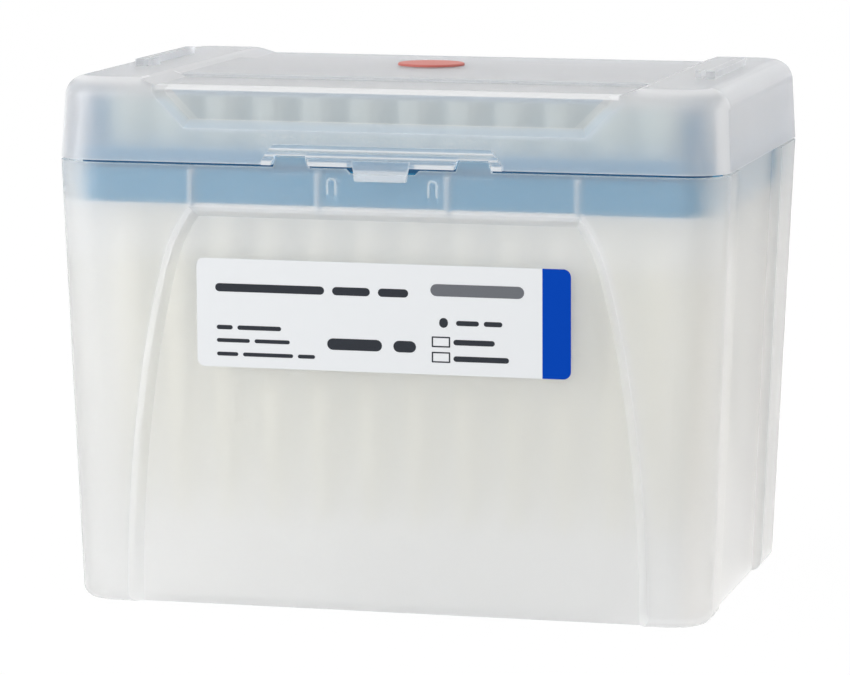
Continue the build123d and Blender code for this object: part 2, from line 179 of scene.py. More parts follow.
class ShaderGraph:
    """A material's or world's node tree, built through one method for every kind of node."""

    # Rays that look for an edge at each point; few, because each costs time.
    EDGE_SAMPLES = 2
    # Cosines of the turn at which an edge starts to show and shows in full.
    EDGE_TURN: Pair = (0.985, 0.80)
    # Cosines of the lean at which rounding starts to count and counts in full.
    ROUND_TURN: Pair = (0.99, 0.93)

    def __init__(self, name: str, world: bool = False) -> None:
        """Make an empty tree.

        Args:
            name: The name of the material or world.
            world: Whether it is a world's tree.
        """
        self.owner = (bpy.data.worlds if world else bpy.data.materials).new(name)
        self.output = "ShaderNodeOutputWorld" if world else "ShaderNodeOutputMaterial"
        self.owner.use_nodes = True
        self.tree = self.owner.node_tree
        self.tree.nodes.clear()

    def node(
        self,
        kind: str,
        settings: Optional[Mapping[str, object]] = None,
        inputs: Optional[Mapping[Union[str, int], Term]] = None,
    ) -> bpy.types.Node:
        """Add one node.

        Args:
            kind: The node's type.
            settings: Its properties, set before its sockets.
            inputs: Values or links for its sockets, by name or place.

        Returns:
            The node.
        """
        made = self.tree.nodes.new(kind)
        for name, value in (settings or {}).items():
            setattr(made, name, value)
        for key, value in (inputs or {}).items():
            self.feed(made.inputs[key], value)
        return made

    def feed(self, socket: bpy.types.NodeSocket, value: Term) -> None:
        """Link a signal or socket into an input, or set the input's value.

        Args:
            socket: The input.
            value: What it gets; three numbers make an opaque colour.
        """
        if isinstance(value, Signal):
            value = value.socket
        if isinstance(value, bpy.types.NodeSocket):
            self.tree.links.new(value, socket)
        elif socket.type == "RGBA" and len(value) == 3:
            socket.default_value = (*value, 1.0)
        else:
            socket.default_value = value

    def signal(
        self,
        kind: str,
        settings: Optional[Mapping[str, object]] = None,
        inputs: Optional[Mapping[Union[str, int], Term]] = None,
        output: Union[str, int] = 0,
    ) -> Signal:
        """Add a node and return one of its outputs as a signal."""
        return Signal(self, self.node(kind, settings, inputs).outputs[output])

    def place(self) -> bpy.types.NodeSocket:
        """Return the point on the surface, in the object's own metres."""
        return self.node("ShaderNodeTexCoord").outputs["Object"]

    def split(self, vector: bpy.types.NodeSocket) -> tuple[Signal, Signal, Signal]:
        """Return a vector's x, y and z as signals."""
        parts = self.node("ShaderNodeSeparateXYZ", inputs={0: vector}).outputs
        return Signal(self, parts[0]), Signal(self, parts[1]), Signal(self, parts[2])

    def axes(self) -> tuple[Signal, Signal, Signal]:
        """Return the point's x, y and z as signals."""
        return self.split(self.place())

    def facing(self) -> tuple[Signal, Signal, Signal]:
        """Return how far the skin faces along x, y and z, whichever way."""
        across, along, up = self.split(self.node("ShaderNodeTexCoord").outputs["Normal"])
        return abs(across), abs(along), abs(up)

    def noise(self, size: float, detail: float = 2.0, stretch: Triple = (1, 1, 1)) -> Signal:
        """Add a soft noise over the surface.

        Args:
            size: The size of its spots, in metres.
            detail: How many finer layers it has.
            stretch: How much longer the spots are along each axis.

        Returns:
            A signal around one half.
        """
        scale = tuple(1 / (size * by) for by in stretch)
        where = self.node("ShaderNodeMapping", inputs={"Vector": self.place(), "Scale": scale})
        inputs = {"Vector": where.outputs[0], "Scale": 1.0, "Detail": detail}
        return self.signal("ShaderNodeTexNoise", inputs=inputs)

    def blend(self, share: Term, first: Term, second: Term) -> bpy.types.NodeSocket:
        """Mix two colours by a share that changes over the surface."""
        inputs = {0: share, 6: first, 7: second}
        return self.node("ShaderNodeMix", {"data_type": "RGBA"}, inputs).outputs[2]

    def mix(self, share: Term, first: bpy.types.Node, second: bpy.types.Node) -> bpy.types.Node:
        """Mix two shaders by a share, or by the kind of ray."""
        inputs = {0: share, 1: first.outputs[0], 2: second.outputs[0]}
        return self.node("ShaderNodeMixShader", inputs=inputs)

    def bump(self, height: Signal, depth: float) -> bpy.types.NodeSocket:
        """Turn a height signal into a normal, with a full step of that depth in metres."""
        inputs = {"Height": height, "Distance": depth, "Strength": 1.0}
        return self.node("ShaderNodeBump", inputs=inputs).outputs[0]

    def edges(self, reach: float) -> Signal:
        """Find the moulded edges and corners of a solid.

        Args:
            reach: How far from an edge it still counts, in metres.

        Returns:
            1 along the edges, falling to 0 on flat and gently curved skin.
        """
        eased = self.node("ShaderNodeBevel", {"samples": self.EDGE_SAMPLES}, {"Radius": reach})
        skin = self.node("ShaderNodeNewGeometry")
        settings = {"operation": "DOT_PRODUCT"}
        inputs = {0: eased.outputs[0], 1: skin.outputs["Normal"]}
        level = self.signal("ShaderNodeVectorMath", settings, inputs, "Value")
        return level.ramp(*self.EDGE_TURN)

    def rounding(self) -> Signal:
        """Return 1 where the skin curves or leans, 0 on its upright and level faces."""
        across, along, up = self.facing()
        return across.either(along).either(up).ramp(*self.ROUND_TURN)

    def looked_at(self) -> Signal:
        """Tell what the eye sees from what only lights other things.

        Returns:
            1 for what is seen straight, mirrored or through plastic, else 0.
        """
        rays = self.node("ShaderNodeLightPath").outputs
        seen = Signal(self, rays["Is Camera Ray"])
        return seen.either(rays["Is Glossy Ray"]).either(rays["Is Transmission Ray"])

    def let_light_in(self, shader: bpy.types.Node, share: float) -> bpy.types.Node:
        """Let that share of the light that falls on a see-through wall cross it unbent.

        Args:
            shader: What the eye and reflections meet.
            share: How much of each lamp's and the room's light goes straight on.

        Returns:
            The mixed shader.
        """
        rays = self.node("ShaderNodeLightPath").outputs
        crossing = Signal(self, rays["Is Shadow Ray"]).either(rays["Is Diffuse Ray"])
        clear = self.node("ShaderNodeBsdfTransparent", inputs={"Color": (share, share, share)})
        return self.mix(crossing, shader, clear)

    def surface(self, shader: bpy.types.Node) -> Union[bpy.types.Material, bpy.types.World]:
        """Finish the tree with that shader and return its material or world."""
        self.node(self.output, inputs={"Surface": shader.outputs[0]})
        return self.owner


@dataclass(frozen=True)
class FrostedPlastic:
    """Natural polypropylene: light passes through it and is scattered on the way.

    A share of white marks its edges: partly light scattered where the plastic is thick, and
    partly painted highlight. A thin clear skin lies over it.
    """

    name: str
    tint: Colour
    roughness: float
    clarity: float
    passing: float  # the share of light that crosses a wall unbent
    gloss: float = 0.5
    thick_shade: float = 0.985  # how much of the tint's brightness the thicker places keep
    grain: float = 0.35 * MM
    grain_depth: float = 0.012 * MM
    # Streaks where the melt flowed, and by how much they change the roughness.
    flow: float = 14 * MM
    flow_stretch: Triple = (1.0, 1.0, 3.0)
    flow_spread: float = 0.10
    # Clear skin: its weight, roughness and refractive index.
    skin: float = 0.3
    skin_roughness: float = 0.22
    skin_index: float = 1.45
    # White edges, partly scattered light and partly painted highlight: how far from an edge they
    # reach, and their share and colour.
    edge: float = 0.3 * MM
    edge_scatter_and_highlight_share: float = 0.65
    edge_colour: Colour = (0.97, 0.98, 0.99)

    def scatter_and_painted_light(self, graph: ShaderGraph) -> Signal:
        """Return the edges' share of white: thick plastic's scatter, and painted highlight."""
        return self.edge_scatter_and_highlight_share * graph.edges(self.edge)

    def roughness_map(self, graph: ShaderGraph) -> Signal:
        """Return how dull the skin is: a little uneven where the melt flowed."""
        streaks = graph.noise(self.flow, stretch=self.flow_stretch)
        return streaks.around(self.roughness, self.flow_spread)

    def relief(self, graph: ShaderGraph) -> Signal:
        """Return the height of the fine grain that the mould leaves, around one half."""
        return graph.noise(self.grain, detail=3.0)

    def shine(self, graph: ShaderGraph) -> Term:
        """Return the weight of the thin clear skin."""
        return self.skin

    def body_colour(self, graph: ShaderGraph) -> bpy.types.NodeSocket:
        """Return the plastic's own colour, a little uneven in thickness."""
        deeper = tuple(self.thick_shade * part for part in self.tint)
        return graph.blend(graph.noise(self.flow), deeper, self.tint)

    def build(self) -> bpy.types.Material:
        """Build the finish.

        Returns:
            The material.
        """
        graph = ShaderGraph(self.name)
        body = graph.node(
            "ShaderNodeBsdfPrincipled",
            inputs={
                "Base Color": self.body_colour(graph),
                "Roughness": self.roughness_map(graph),
                "IOR": INDEX,
                "Transmission Weight": self.clarity,
                "Specular IOR Level": self.gloss,
                "Coat Weight": self.shine(graph),
                "Coat Roughness": self.skin_roughness,
                "Coat IOR": self.skin_index,
                "Normal": graph.bump(self.relief(graph), self.grain_depth),
            },
        )
        white = graph.node(
            "ShaderNodeBsdfPrincipled",
            inputs={"Base Color": self.edge_colour, "Roughness": self.roughness, "IOR": INDEX},
        )
        # The white mixed in is partly scattered light and partly painted light.
        lit = graph.mix(self.scatter_and_painted_light(graph), body, white)
        return graph.surface(graph.let_light_in(lit, self.passing))


@dataclass(frozen=True)
class BasePlastic(FrostedPlastic):
    """The base's plastic.

    It is whiter where the seat ribs and the pips thicken the front wall, has painted light over
    the ledge under the rack, and painted shade towards the foot and at the right-hand end.
    """

    outer_depth: float = 0.5 * MM  # what counts as the front wall's outer skin
    # Seat ribs: their middles, how far beside them their lines fade in, and the lines' ends.
    ribs: Pair = (11.9 * MM, 35.6 * MM)
    rib_side: Pair = (1.08 * MM, 0.09 * MM)
    rib_foot: Pair = (72.6 * MM, 73.8 * MM)
    rib_top: Pair = (80.9 * MM, 80.1 * MM)
    rib_share: float = 0.36
    # Pips: their middle, the foot of the sides, the crown's centre and radius, and the line
    # that fades in to both sides of their outline.
    pip: float = 9.3 * MM
    pip_foot: float = 76.55 * MM
    pip_top: float = 78.75 * MM
    pip_radius: float = 0.75 * MM
    pip_line: Pair = (0.32 * MM, 0.1 * MM)
    pip_share: float = 0.42
    # Painted light over the ledge under the rack: where it fades in, its top and how far back it
    # reaches.
    ledge: Pair = (61.0 * MM, 68.0 * MM)
    ledge_top: float = 74.2 * MM
    ledge_back: float = 5 * MM
    painted_ledge_light: float = 0.2
    # Painted shade at the foot: the levels and the places along x between which it grows,
    # and the least of it, at the left.
    foot: Pair = (62 * MM, 22 * MM)
    foot_side: Pair = (-45 * MM, 15 * MM)
    foot_least: float = 0.25
    painted_foot_shade: Colour = (0.915, 0.917, 0.915)
    # Painted shade at the right-hand end: where it grows.
    end: Pair = (55.5 * MM, 59.0 * MM)
    painted_end_shade: Colour = (0.925, 0.915, 0.90)

    @staticmethod
    def lean(z: Signal) -> Signal:
        """Return how far the walls have leaned in at that height."""
        return math.tan(LEAN) * (SEAM - z)

    def body_colour(self, graph: ShaderGraph) -> bpy.types.NodeSocket:
        """Paint shade on the plastic: deeper towards the foot, more so to the right, and at the
        end.

        Args:
            graph: The finish's graph.

        Returns:
            The colour.
        """
        x, _, z = graph.axes()
        # Painted shade, growing towards the foot and to the right, and at the right-hand end.
        side = self.foot_least + (1.0 - self.foot_least) * x.ramp(*self.foot_side)
        wall = graph.blend(z.ramp(*self.foot) * side, super().body_colour(graph), self.painted_foot_shade)
        end = (x + self.lean(z)).ramp(*self.end)
        return graph.blend(end, wall, self.painted_end_shade)

    def outside(self, graph: ShaderGraph) -> Signal:
        """Return 1 on the outer skin of the front wall, else 0."""
        _, y, z = graph.axes()
        return (y - self.lean(z)) < (FRONT + self.outer_depth)

    def rib_lines(self, graph: ShaderGraph) -> Signal:
        """Mark the seat ribs.

        Args:
            graph: The finish's graph.

        Returns:
            1 in front of the ribs, with soft sides and ends.
        """
        x, _, z = graph.axes()
        inner, outer = (abs(abs(x) - middle) for middle in self.ribs)
        near = inner.math("MINIMUM", outer).ramp(*self.rib_side)
        return near * z.ramp(*self.rib_foot) * z.ramp(*self.rib_top)

    def pip_lines(self, graph: ShaderGraph) -> Signal:
        """Mark the pips: two upright sides under a round crown.

        Args:
            graph: The finish's graph.

        Returns:
            1 along each pip's outline, with soft sides.
        """
        x, _, z = graph.axes()
        across = abs(x) - self.pip
        over = (z - self.pip_top).either(0.0)
        reach = (across * across + over * over).math("SQRT")
        level = z.within(self.pip_foot, self.pip_top + 2 * self.pip_radius)
        return abs(reach - self.pip_radius).ramp(*self.pip_line) * level

    def scatter_and_painted_light(self, graph: ShaderGraph) -> Signal:
        """Whiten the ribs and pips, paint light over the ledge, and whiten the edges.

        Args:
            graph: The finish's graph.

        Returns:
            The share of white: scattered light, and painted light over the ledge and at the
                edges.
        """
        _, y, z = graph.axes()
        # The ledge term is painted light.
        ledge = z.ramp(*self.ledge) * (z < self.ledge_top) * (y < FRONT + self.ledge_back)
        ribs = self.rib_share * self.rib_lines(graph)
        thick = ribs.either(self.pip_share * self.pip_lines(graph)) * self.outside(graph)
        return super().scatter_and_painted_light(graph).either(thick).either(self.painted_ledge_light * ledge)


@dataclass(frozen=True)
class LidPlastic(FrostedPlastic):
    """The lid's plastic.

    It is polished in the window, spark-roughened on the patch that the grip stands on, and
    whiter in a list of zones; on the brow, corners, crests and step that white is painted
    highlight.
    """

    # Window: half its width along the sill, the sill's height over the seam, and its depth.
    window_half: float = 34.6 * MM
    window_sill: float = 8.0 * MM
    window_back: float = 4.4 * MM
    polish: float = 0.32
    # The pane's colour is painted shade with the rack's blue.
    painted_pane_shade: Colour = (0.78, 0.85, 0.92)
    # Patch: half its width, its height over the seam, its depth, and its skin.
    patch_half: float = 22.4 * MM
    patch_top: float = 5.7 * MM
    patch_back: float = 0.6 * MM
    patch_roughness: float = 0.75
    patch_grain: float = 0.8 * MM
    patch_relief: float = 6.0
    # Speckles on the patch: their size, and the noise at which they show.
    speckle: float = 0.42 * MM
    speckle_cut: Pair = (0.5, 0.6)
    speckle_share: float = 0.3
    # Crests of the grip's ridges, with painted highlight: how far they stand out from the front.
    crest: Pair = (0.55 * MM, 0.8 * MM)
    crest_highlight_share: float = 0.7
    # Latch tab: half its width and its top between the ridges; how far under the seam its
    # whitening starts, and how deep it reaches.
    tab_half: float = 6.2 * MM
    tab_top: float = 83.1 * MM
    tab_gap: float = 0.3 * MM
    tab_back: float = 0.3 * MM
    tab_share: float = 0.31
    # Veil on the front: the levels between which it fades out, and its depth.
    veil_level: Pair = (89 * MM, 84 * MM)
    veil_depth: Pair = (-0.05 * MM, 1.0 * MM)
    veil_share: float = 0.12
    # Top: the level at which the brow starts, one just under the end pads, and how level the
    # skin is.
    brow_level: float = 94.6 * MM
    pad_level: float = 96.3 * MM
    top_tilt: Pair = (0.85, 0.97)
    # Brow over the window: its depths behind the front, half its length, and its painted
    # highlight.
    brow_depth: Pair = (1.2 * MM, 4.8 * MM)
    brow_half: float = 42.6 * MM
    brow_highlight_share: float = 0.8
    # Step across the top: its front edge, along y, and the painted highlight on it.
    step_run: Pair = (-20.4 * MM, -19.6 * MM)
    step_highlight_share: float = 0.5
    # Front corners, with a band of painted highlight: where they start along x, how far back they
    # reach, and the cosines of their skin's turn between which the band rises and falls.
    corner_half: float = 45.5 * MM
    corner_back: float = 9 * MM
    corner_rise: Pair = (0.7, 0.92)
    corner_fall: Pair = (0.998, 0.982)
    corner_highlight_share: float = 0.62
    round_skin: float = 0.7  # the clear skin's weight where the wall curves
    # Painted blue glow of the rack: its colour, and how it fades in downwards, inwards and
    # forwards.
    painted_rack_glow: Colour = (0.86, 0.93, 0.985)
    cast_level: Pair = (95.5 * MM, 91.5 * MM)
    cast_side: Pair = (57.0 * MM, 50.0 * MM)
    cast_depth: Pair = (4.5 * MM, 1.5 * MM)
    # Painted shade on both ends and the top: where it grows on the ends, and its colour.
    end: Pair = (58.5 * MM, 61.0 * MM)
    painted_shade: Colour = (0.84, 0.845, 0.875)

    def window(self, graph: ShaderGraph) -> Signal:
        """Mark the window, whose sides lean out by half a right angle, and its brow.

        Args:
            graph: The finish's graph.

        Returns:
            1 on them, else 0.
        """
        x, y, z = graph.axes()
        rise = z - (SEAM + self.window_sill)
        inside = (abs(x) - rise) < self.window_half
        return inside * (rise > 0.0) * (y < FRONT + self.window_back)

    def patch(self, graph: ShaderGraph) -> Signal:
        """Mark the roughened patch of the front that the grip stands on.

        Args:
            graph: The finish's graph.

        Returns:
            1 on it, else 0.
        """
        x, y, z = graph.axes()
        low = z < SEAM + self.patch_top
        return low * (abs(x) < self.patch_half) * (y < FRONT + self.patch_back)

    def speckles(self, graph: ShaderGraph) -> Signal:
        """Return 1 on the patch's pale grains, but not on the grip in front of it."""
        grains = graph.noise(self.speckle).ramp(*self.speckle_cut)
        return grains * self.patch(graph) * ((graph.axes()[1] - FRONT) > 0.0)

    def crests(self, graph: ShaderGraph) -> Signal:
        """Mark the crests of the grip's ridges for painted highlight, but not the tab in their
        middle.

        Args:
            graph: The finish's graph.

        Returns:
            1 along the crests, with soft sides.
        """
        x, y, z = graph.axes()
        clear = (abs(x) > self.tab_half).either(z > self.tab_top)
        return (FRONT - y).ramp(*self.crest) * clear * (z > SEAM)

    def tab(self, graph: ShaderGraph) -> Signal:
        """Return 1 on the front of the tab that hangs below the seam, else 0."""
        _, y, z = graph.axes()
        return (z < SEAM - self.tab_gap) * (y < FRONT + self.tab_back)

    def veil(self, graph: ShaderGraph) -> Signal:
        """Return how dense the veil on the front face is: it fades out upwards."""
        _, y, z = graph.axes()
        return z.ramp(*self.veil_level) * (y - FRONT).within(*self.veil_depth)

    def brow(self, graph: ShaderGraph) -> Signal:
        """Mark the rounded brow over the window, for painted highlight.

        Args:
            graph: The finish's graph.

        Returns:
            1 on it, else 0.
        """
        x, y, z = graph.axes()
        depth = (y - FRONT).within(*self.brow_depth)
        return (z > self.brow_level) * depth * (abs(x) < self.brow_half)

    def step(self, graph: ShaderGraph) -> Signal:
        """Mark the low step across the top, between the pads at its ends, for painted highlight.

        Args:
            graph: The finish's graph.

        Returns:
            1 on it, else 0.
        """
        x, y, z = graph.axes()
        run = y.within(*self.step_run) * z.within(self.brow_level, self.pad_level)
        return run * (abs(x) < self.corner_half)

    def corners(self, graph: ShaderGraph) -> Signal:
        """Mark the rounded front corners and their top edge, for painted highlight.

        Args:
            graph: The finish's graph.

        Returns:
            1 in a band round them, with soft sides.
        """
        x, y, z = graph.axes()
        across, _, up = graph.facing()
        turn = across.either(up)
        band = turn.ramp(*self.corner_rise) * turn.ramp(*self.corner_fall)
        front = (y - FRONT) < self.corner_back
        return band * front * (abs(x) > self.corner_half) * (z > SEAM)

    def scatter_and_painted_light(self, graph: ShaderGraph) -> Signal:
        """Whiten each zone by its own share, and the edges; brow, corners, crests and step get
        painted highlight.

        Args:
            graph: The finish's graph.

        Returns:
            The share of white: scattered light, and painted highlight.
        """
        # The brow, corner, crest and step shares are painted highlights.
        zones = (
            self.brow_highlight_share * self.brow(graph),
            self.tab_share * self.tab(graph),
            self.corner_highlight_share * self.corners(graph),
            self.crest_highlight_share * self.crests(graph),
            self.step_highlight_share * self.step(graph),
            self.veil_share * self.veil(graph),
            self.speckle_share * self.speckles(graph),
        )
        white = super().scatter_and_painted_light(graph)
        for zone in zones:
            white = white.either(zone)
        return white

    def body_colour(self, graph: ShaderGraph) -> bpy.types.NodeSocket:
        """Colour the plastic.

        The rack's blue is painted into the front wall as a glow, the window gets painted shade
        with the rack's blue, and both ends and the top, but for its raised pads, get painted
        shade.

        Args:
            graph: The finish's graph.

        Returns:
            The colour.
        """
        x, y, z = graph.axes()
        # Painted glow of the rack's blue on the front wall.
        painted_rack_glow = z.ramp(*self.cast_level) * abs(x).ramp(*self.cast_side)
        painted_rack_glow = painted_rack_glow * (y - FRONT).ramp(*self.cast_depth)
        wall = graph.blend(painted_rack_glow, super().body_colour(graph), self.painted_rack_glow)
        # Painted shade in the window.
        painted_pane_shade = self.window(graph) * (z < self.brow_level)
        wall = graph.blend(painted_pane_shade, wall, self.painted_pane_shade)
        # Painted shade on both ends and the top, but for the pads.
        level = graph.facing()[2].ramp(*self.top_tilt)
        top = level * z.within(self.brow_level, self.pad_level)
        return graph.blend(abs(x).ramp(*self.end).either(top), wall, self.painted_shade)

    def shine(self, graph: ShaderGraph) -> Signal:
        """Return the weight of the clear skin: more where the wall curves and catches lamps."""
        curved = graph.rounding() * (graph.axes()[2] > SEAM) * (1.0 - self.window(graph))
        return self.skin + (self.round_skin - self.skin) * curved

    def roughness_map(self, graph: ShaderGraph) -> Signal:
        """Make the skin duller on the patch and smoother in the window.

        Args:
            graph: The finish's graph.

        Returns:
            The roughness.
        """
        plain = super().roughness_map(graph)
        dull = plain + (self.patch_roughness - plain) * self.patch(graph)
        return dull + (self.polish - dull) * self.window(graph)

    def relief(self, graph: ShaderGraph) -> Signal:
        """Deepen the grain on the patch and take it off the window.

        Args:
            graph: The finish's graph.

        Returns:
            The grain's height, around nought.
        """
        fine = super().relief(graph) - 0.5
        coarse = graph.noise(self.patch_grain, detail=4.0) - 0.5
        patch = coarse * self.patch(graph) * self.patch_relief
        return fine * (1.0 - self.window(graph)) + patch


@dataclass(frozen=True)
class MouldedPlastic:
    """Solid-coloured moulded plastic with a satin skin."""

    name: str
    colour: Colour
    shade: Colour  # the colour that it shifts to, in patches
    roughness: float = 0.4
    unevenness: float = 0.12
    grain: float = 0.5 * MM
    depth: float = 0.01 * MM
    patches: float = 9 * MM

    def relief(self, graph: ShaderGraph) -> Signal:
        """Return the height of the surface's grain."""
        return graph.noise(self.grain, detail=3.0)

    def body_colour(self, graph: ShaderGraph) -> bpy.types.NodeSocket:
        """Return the plastic's colour, a little uneven from patch to patch."""
        return graph.blend(graph.noise(self.patches), self.shade, self.colour)

    def build(self) -> bpy.types.Material:
        """Build the finish.

        Returns:
            The material.
        """
        graph = ShaderGraph(self.name)
        fine = graph.noise(self.grain, detail=3.0)
        shader = graph.node(
            "ShaderNodeBsdfPrincipled",
            inputs={
                "Base Color": self.body_colour(graph),
                "Roughness": fine.around(self.roughness, self.unevenness),
                "IOR": INDEX,
                "Normal": graph.bump(self.relief(graph), self.depth),
            },
        )
        return graph.surface(shader)


@dataclass(frozen=True)
class RackPlastic(MouldedPlastic):
    """The rack's plastic, with painted shade where the rims of the box shade its front edge."""

    # The rack's front face, how far back the painted shade reaches, and where it grows under the
    # seam.
    front: float = -40.4 * MM
    shade_back: float = 7 * MM
    shaded: Pair = (80.3 * MM, 80.8 * MM)
    painted_shade: Colour = (0.002, 0.085, 0.21)

    def body_colour(self, graph: ShaderGraph) -> bpy.types.NodeSocket:
        """Colour the plastic, with painted shade on the edge under the seam.

        Args:
            graph: The finish's graph.

        Returns:
            The colour.
        """
        _, y, z = graph.axes()
        # Painted shade in the seam's gap.
        share = z.ramp(*self.shaded) * (z < SEAM) * (y < self.front + self.shade_back)
        return graph.blend(share, super().body_colour(graph), self.painted_shade)


@dataclass(frozen=True)
class TipPlastic(MouldedPlastic):
    """The tips' plastic, with fine upright ribs round each collar."""

    pitch: float = 9 * MM
    collar_foot: float = 84.3 * MM
    ribs: float = 12.0  # round each collar
    rib_swell: Pair = (0.1, 0.7)
    grain_share: float = 0.08

    def relief(self, graph: ShaderGraph) -> Signal:
        """Raise the ribs round each tip of the grid, and a little grain.

        Args:
            graph: The finish's graph.

        Returns:
            Their height.
        """
        x, y, z = graph.axes()
        across = (x / self.pitch).math("FRACT") - 0.5
        along = (y / self.pitch).math("FRACT") - 0.5
        turn = along.math("ARCTAN2", across)
        wave = (turn * self.ribs).math("SINE").ramp(*self.rib_swell)
        return wave * (z > self.collar_foot) + super().relief(graph) * self.grain_share


@dataclass(frozen=True)
class PrintedFilm:
    """White film with one coloured field at its right end."""

    name: str
    white: Colour
    field_colour: Colour
    field_start: float  # along x
    fibre: float = 0.25 * MM
    fibre_depth: float = 0.004 * MM
    roughness: float = 0.46
    unevenness: float = 0.1
    gloss: float = 0.05

    def build(self) -> bpy.types.Material:
        """Build the finish.

        Returns:
            The material.
        """
        graph = ShaderGraph(self.name)
        in_field = graph.axes()[0] > self.field_start
        fibre = graph.noise(self.fibre, detail=4.0)
        shader = graph.node(
            "ShaderNodeBsdfPrincipled",
            inputs={
                "Base Color": graph.blend(in_field, self.white, self.field_colour),
                "Roughness": fibre.around(self.roughness, self.unevenness),
                "Specular IOR Level": self.gloss,
                "Normal": graph.bump(fibre, self.fibre_depth),
            },
        )
        return graph.surface(shader)


@dataclass(frozen=True)
class Ink:
    """Matt ink, a little uneven in density."""

    name: str
    colour: Colour
    speck: float = 0.2 * MM
    thinning: float = 0.02
    roughness: float = 0.5
    unevenness: float = 0.1
    gloss: float = 0.1

    def build(self) -> bpy.types.Material:
        """Build the finish.

        Returns:
            The material.
        """
        graph = ShaderGraph(self.name)
        density = graph.noise(self.speck, detail=3.0)
        thin = tuple(part + self.thinning for part in self.colour)
        shader = graph.node(
            "ShaderNodeBsdfPrincipled",
            inputs={
                "Base Color": graph.blend(density, self.colour, thin),
                "Roughness": density.around(self.roughness, self.unevenness),
                "Specular IOR Level": self.gloss,
            },
        )
        return graph.surface(shader)


CLEAR_PLASTIC = BasePlastic(
    "clear_plastic_finish", tint=(0.975, 0.975, 0.97), roughness=0.68, clarity=0.92, passing=0.985
)
LID_PLASTIC = LidPlastic(
    "lid_plastic_finish",
    tint=(0.93, 0.935, 0.955),
    roughness=0.6,
    clarity=0.88,
    passing=0.88,
    edge_scatter_and_highlight_share=0.8,
)
RACK_PLASTIC = RackPlastic("rack_plastic_finish", (0.012, 0.27, 0.50), (0.011, 0.25, 0.47))
TIP_PLASTIC = TipPlastic(
    "tip_plastic_finish",
    (0.99, 0.975, 0.87),
    (0.975, 0.955, 0.84),
    roughness=0.35,
    depth=0.12 * MM,
)
FILTER_CORE = MouldedPlastic(
    "filter_core_finish",
    (0.92, 0.91, 0.86),
    (0.84, 0.83, 0.78),
    roughness=0.85,
    depth=0.06 * MM,
)
DOT_FILM = MouldedPlastic(
    "dot_film_finish", (0.74, 0.20, 0.16), (0.68, 0.17, 0.14), roughness=0.5
)
LABEL_INK = Ink("label_ink_finish", (0.03, 0.035, 0.045))
PALE_INK = Ink("pale_ink_finish", (0.17, 0.18, 0.20))


@dataclass(frozen=True)
class Bar:
    """One rounded bar of print, in millimetres from the label's lower left corner."""

    left: float
    level: float
    length: float
    height: float
    pale: bool = False

    def rim(self, steps: int) -> Iterator[tuple[float, float]]:
        """Go round its outline.

        Args:
            steps: How many steps round off each corner.

        Yields:
            Each point's place along the label and up it, in metres.
        """
        radius = min(self.length, self.height) / 2
        reach, rise = self.length / 2 - radius, self.height / 2 - radius
        middle = self.left + self.length / 2
        for corner, (along, up) in enumerate(((1, 1), (-1, 1), (-1, -1), (1, -1))):
            for step in range(steps + 1):
                angle = math.pi / 2 * (corner + step / steps)
                x = middle + along * reach + radius * math.cos(angle)
                z = self.level + up * rise + radius * math.sin(angle)
                yield x * MM, z * MM


WORD_GAP = 0.9  # the least space between two bars in a line, in millimetres


def words(left: float, level: float, height: float, lengths: Sequence[float]) -> Iterator[Bar]:
    """Set a line of print, with gaps of one thickness or WORD_GAP, whichever is more.

    Args:
        left: Where the line starts.
        level: The height of its middle.
        height: How thick its bars are.
        lengths: How long each bar is.

    Yields:
        The line's bars, from left to right.
    """
    for length in lengths:
        yield Bar(left, level, length, height)
        left += length + max(height, WORD_GAP)


def outline(left: float, level: float, length: float, height: float, line: float) -> list[Bar]:
    """Frame a small field.

    Args:
        left: Where the field starts.
        level: The height of its middle.
        length: Its length.
        height: Its height.
        line: How thick the frame is.

    Returns:
        The frame's four bars.
    """
    return [
        Bar(left, level + height / 2, length, line),
        Bar(left, level - height / 2, length, line),
        Bar(left, level, line, height),
        Bar(left + length - line, level, line, height),
    ]


LABEL_BARS = [
    *words(3.5, 14.6, 1.5, (20.4, 7.0, 5.6)),
    *words(3.7, 7.3, 0.8, (3.0, 8.2)),
    *words(3.7, 4.9, 0.7, (6.2, 6.6)),
    *words(3.7, 2.4, 0.7, (4.0, 9.4, 3.2)),
    *words(24.4, 4.9, 2.1, (10.2, 4.2)),
    Bar(45.2, 9.5, 1.6, 1.8),
    *words(48.3, 9.5, 0.9, (4.2, 3.4)),
    *outline(43.8, 6.0, 3.4, 1.7, 0.25),
    *words(47.8, 6.0, 1.0, (7.6,)),
    *outline(43.8, 3.2, 3.4, 1.7, 0.25),
    *words(47.8, 3.0, 1.0, (10.2,)),
    Bar(43.6, 15.4, 17.2, 2.2, pale=True),
]


